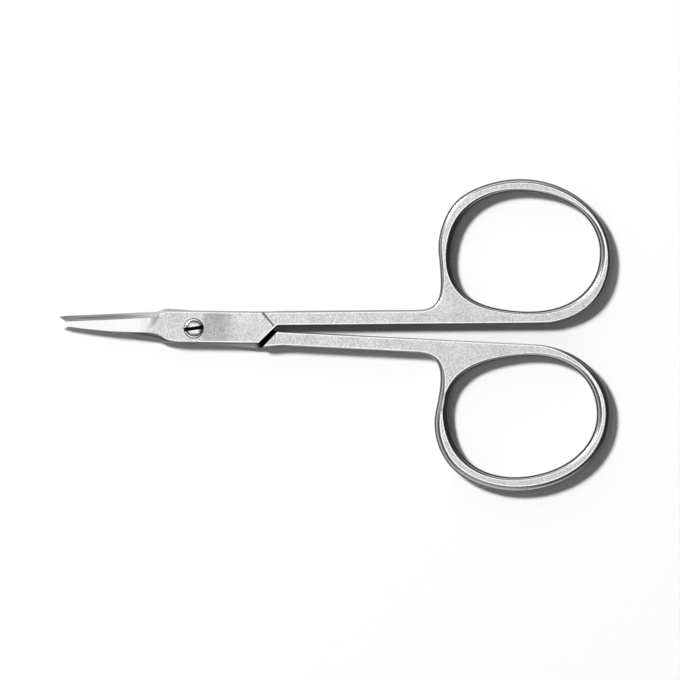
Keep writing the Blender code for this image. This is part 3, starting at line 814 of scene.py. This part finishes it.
def face_outwards(bm):
    bmesh.ops.recalc_face_normals(bm, faces=bm.faces)
    if bm.calc_volume(signed=True) < 0:
        bmesh.ops.reverse_faces(bm, faces=bm.faces)


def forged_blank(name, forging):
    # Walls of the outline and of the finger hole, closed by two flat faces
    bm = bmesh.new()
    bm.from_mesh(wall(name + "_outer", forging.outline()))
    bm.from_mesh(wall(name + "_hole", forging.hole()))
    for face in bm.faces:
        face.smooth = True
    for level in (-1, 1):
        rim = [e for e in bm.edges if len(e.link_faces) == 1 and e.verts[0].co.z * level > 0]
        made = bmesh.ops.triangle_fill(bm, use_beauty=True, use_dissolve=False, edges=rim)
        for part in made["geom"]:
            if isinstance(part, bmesh.types.BMFace):
                part.material_index = 2
                part.smooth = False
    face_outwards(bm)
    return bm


def loft(sections, smooth=False):
    bm = bmesh.new()
    loops = [[bm.verts.new(point) for point in section] for section in sections]
    for low, high in zip(loops, loops[1:]):
        for i in range(len(low)):
            j = (i + 1) % len(low)
            bm.faces.new((low[i], low[j], high[j], high[i])).smooth = smooth
    bm.faces.new(loops[0])
    bm.faces.new(loops[-1])
    face_outwards(bm)
    return bm


def turned_solid(profile, steps=96):
    # Solid of revolution about Z through (radius, height) points
    bm = bmesh.new()
    loops = []
    for radius, height in profile:
        if radius == 0:
            loops.append([bm.verts.new((0, 0, height))])
            continue
        spots = [turned((radius, 0.0), math.tau * i / steps) for i in range(steps)]
        loops.append([bm.verts.new((x, y, height)) for x, y in spots])
    for one, two in zip(loops, loops[1:]):
        for i in range(steps):
            j = (i + 1) % steps
            if len(one) == 1:
                face = bm.faces.new((one[0], two[j], two[i]))
            elif len(two) == 1:
                face = bm.faces.new((one[i], one[j], two[0]))
            else:
                face = bm.faces.new((one[i], one[j], two[j], two[i]))
            face.smooth = True
    face_outwards(bm)
    return bm


def cut(item, name, bm, material):
    # Takes a cutter out of the piece; what it leaves has the cutter's finish
    cutter = new_object(name, bm, [material])
    modifier = item.modifiers.new(name, "BOOLEAN")
    modifier.operation = "DIFFERENCE"
    modifier.solver = "MANIFOLD"
    modifier.material_mode = "TRANSFER"
    modifier.object = cutter
    made = evaluated_mesh(item)
    item.modifiers.clear()
    old = item.data
    item.data = made
    bpy.data.meshes.remove(old)
    bpy.data.objects.remove(cutter)


def shoulder_line(forging, clearance):
    run = shoulder_length / (plate_width / 2)
    far = plate_width / 2 + overrun
    return (forging.lap(plate_reach + clearance - far * run, far),
            forging.lap(plate_reach + clearance + far * run, -far))


def lap_cutter(forging):
    high, low = shoulder_line(forging, shoulder_clearance)
    run_out = forging.lap(plate_reach, -plate_width)
    root = meeting_point(high, low, forging.parting)
    inner = (root[0] + plate_width, forging.parting)
    arc = rounded_corner(high, root, inner, shoulder_rounding, 12)
    aside = Vector(arc[-1]) - Vector(arc[-2])
    leave = Vector(arc[-1]) + aside.normalized() * plate_width
    left = -blade_length - overrun
    outline = [(left, run_out[1]), (leave.x, run_out[1]), tuple(leave)]
    outline += list(reversed(arc)) + [high, (left, high[1])]
    return loft([[(x, y, z) for x, y in outline]
                 for z in (-half_thickness - overrun, ride_gap / 2)])


cutter_steps = 40
hollow_steps = 16
cutter_reach_share = 1.1


def hollow_cutter(forging):
    # A shallow dish: u and v are 1 at its ends and its sides, and past its sides
    # the cutter falls away from the steel
    start = -blade_length + tip_rounding * 2
    end = -blade_heel + heel_blend / 2
    sections = []
    for u in spread(-1, 1, cutter_steps):
        x = start + (end - start) * (u + 1) / 2
        high = ground_edge(x) - hollow_margin
        low = hollow_margin - spine_side(x)
        middle, reach = (high + low) / 2, (high - low) / 2
        section = []
        for v in spread(-cutter_reach_share, cutter_reach_share, hollow_steps):
            z = ride_gap / 2 + hollow_depth * (1 - u * u - v * v)
            section.append((*forging.lap(x, middle + reach * v), z))
        for v in (cutter_reach_share, -cutter_reach_share):
            section.append((*forging.lap(x, middle + reach * v), -half_thickness))
        sections.append(section)
    return loft(sections, smooth=True)


grind_steps = 30
run_out_steps = 24
steps_past_run_out = 4


def grind_cutter(forging):
    # Takes the bevel off; past its stop the edge height climbs, so it runs out
    start = -grind_stop - grind_run_out
    xs = [-blade_length - overrun] + tip_places()
    xs += spread(-blade_length + tip_rounding, start, grind_steps)[1:]
    xs += [start + grind_run_out * (i + 1) / run_out_steps
           for i in range(run_out_steps + steps_past_run_out)]
    steepness = math.tan(grind_angle)
    above = thickness + steepness * (plate_width + 2 * overrun)
    sections = []
    for x in xs:
        lift = max((x - start) / grind_run_out, 0.0)
        edge_height = edge_land + (half_thickness - edge_land) * lift * lift
        side = ground_edge(x)
        far = plate_width / 2 + overrun
        slope_top = edge_height + steepness * (side + far)
        corners = ((far, edge_height), (side, edge_height), (-far, slope_top), (-far, above),
                   (far, above))
        sections.append([(*forging.lap(x, y), z) for y, z in corners])
    return loft(sections, smooth=True)


def groove_cutter(forging, width, depth, shift):
    # A V across the outer face, from its edge to the corner of the shoulder
    high, low = (Vector(p) for p in shoulder_line(forging, shift))
    root = Vector(meeting_point(high, low, forging.parting))
    heading = (root - high).normalized()
    aside = Vector((-heading.y, heading.x))
    flare = width / 2 * (1 + overrun / depth)
    sections = []
    for spot, floor_level in ((high, -depth), (root, -depth), (root + heading * width, overrun)):
        section = []
        for offset, z in ((-flare, overrun), (flare, overrun), (0.0, floor_level)):
            point = spot + aside * offset
            section.append((point.x, point.y, half_thickness + z))
        sections.append(section)
    return loft(sections)


sharp_angle = math.radians(30.0)
level_share = 0.99999


def shade_faces(item):
    # Flat faces shade flat, curved ones smooth, and ground corners stay sharp
    item.data.set_sharp_from_angle(angle=sharp_angle)
    for face in item.data.polygons:
        face.use_smooth = abs(face.normal.z) < level_share


def set_in_place(item, turn, height):
    # Turns and lifts a piece from its own frame, in its mesh
    item.rotation_euler = turn
    item.location = (0, 0, height)
    bpy.context.view_layer.update()
    item.data.transform(item.matrix_world)
    item.rotation_euler = (0, 0, 0)
    item.location = (0, 0, 0)


# The screw's bores: the front half has the countersink, the back half the thread
head_radius = 0.00155
head_rim = 0.00006
head_cone = 0.00060
screw_radius = 0.00095
running_clearance = 0.00005
thread_clearance = 0.00003
sink_chamfer = 0.00005
over = half_thickness + overrun
seat = half_thickness - head_rim
front_bore = ((0, over), (head_radius + running_clearance + sink_chamfer, over),
              (head_radius + running_clearance + sink_chamfer, half_thickness),
              (head_radius + running_clearance, half_thickness - sink_chamfer),
              (head_radius + running_clearance, seat),
              (screw_radius + running_clearance, seat - head_cone),
              (screw_radius + running_clearance, -over), (0, -over))
back_bore = ((0, over), (screw_radius + thread_clearance, over),
             (screw_radius + thread_clearance, -over), (0, -over))
for name, side, bore, turned_over in (("front_half", 1, front_bore, 0.0),
                                      ("back_half", -1, back_bore, math.pi)):
    forging = Forging(side)
    item = new_object(name + "_steel", forged_blank(name, forging), (belted, polished, satin))
    cut(item, name + "_lap", lap_cutter(forging), ride)
    cut(item, name + "_hollow", hollow_cutter(forging), ride)
    cut(item, name + "_grind", grind_cutter(forging), bevel)
    # The groove's near edge is rolled bright, as the outline's edge is
    beside = -(groove_width + edge_width) / 2
    cut(item, name + "_line", groove_cutter(forging, edge_width, edge_roll_drop, beside), polished)
    cut(item, name + "_groove", groove_cutter(forging, groove_width, groove_depth, 0.0), groove_painted_shade)
    cut(item, name + "_bore", turned_solid(bore), milled_painted_shade)
    set_in_place(item, (turned_over, 0, side * rest_opening / 2), half_thickness)
    shade_faces(item)
    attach(item, name.removesuffix("_half"))
    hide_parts(name)
bpy.data.objects.remove(section_item)


# Pivot screw: turned from stainless rod, with a low domed head that sits in its
# countersink, a sawn slot, and a tail that is ground flush with the back half. The
# real one's turned rings are finer, and are drawn 0.24 mm apart.
head_crown = 0.00030
slot_width = 0.00060
slot_depth = 0.00050
slot_turn = math.radians(10.8)
tail_chamfer = 0.00006
rim_width = 0.00030
rim_height = 0.00023
rim_fullness = 0.7
lathe_pitch = 0.00024166
dome_steps = 8
rim_steps = 10
screw_steel, tree, shader, place = steel("polished_screw_steel")
# At scale 1 the wave texture repeats every tau / 20
lathe = add_node(tree, "ShaderNodeTexWave", {
    "Vector": place["Object"], "Scale": math.tau / 20 / lathe_pitch, "Distortion": 0.6},
    wave_type="RINGS", rings_direction="Z")
vary(tree, shader, lathe.outputs["Fac"], "#E6E6E6", "#FFFFFF", rough_low=0.13, rough_high=0.18)
dome_radius = head_radius - rim_width
dome_slope = 2 * (head_crown - rim_height) / dome_radius
profile = [(0, thickness + head_crown)]
for share in spread(0.0, 1.0, dome_steps)[1:]:
    profile.append((dome_radius * share,
                    thickness + head_crown - (head_crown - rim_height) * share * share))
# The rim's curve leaves the dome at the dome's own slope and ends upright
level = rim_height - dome_slope * rim_width * rim_fullness
for t in spread(0.0, 1.0, rim_steps)[1:]:
    a, b, c = (1 - t) ** 2, 2 * t * (1 - t), t * t
    profile.append((dome_radius + rim_width * (rim_fullness * b + c),
                    thickness + a * rim_height + b * level))
profile += [(head_radius, thickness - head_rim), (screw_radius, seat + half_thickness - head_cone),
            (screw_radius, tail_chamfer), (screw_radius - tail_chamfer, 0.0), (0, 0.0)]
screw = new_object("pivot_screw_steel", turned_solid(profile), (screw_steel,))
slot_floor = thickness + head_crown - slot_depth
slot_ends = []
for x in (-head_radius - overrun, head_radius + overrun):
    corners = ((-slot_width / 2, slot_floor), (slot_width / 2, slot_floor),
               (slot_width / 2, thickness + overrun), (-slot_width / 2, thickness + overrun))
    slot_ends.append([(*turned((x, y), slot_turn), z) for y, z in corners])
cut(screw, "pivot_screw_slot", loft(slot_ends), milled_painted_shade)
set_in_place(screw, (0, 0, -rest_opening / 2), 0)
shade_faces(screw)
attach(screw, "back")
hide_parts("pivot_screw")
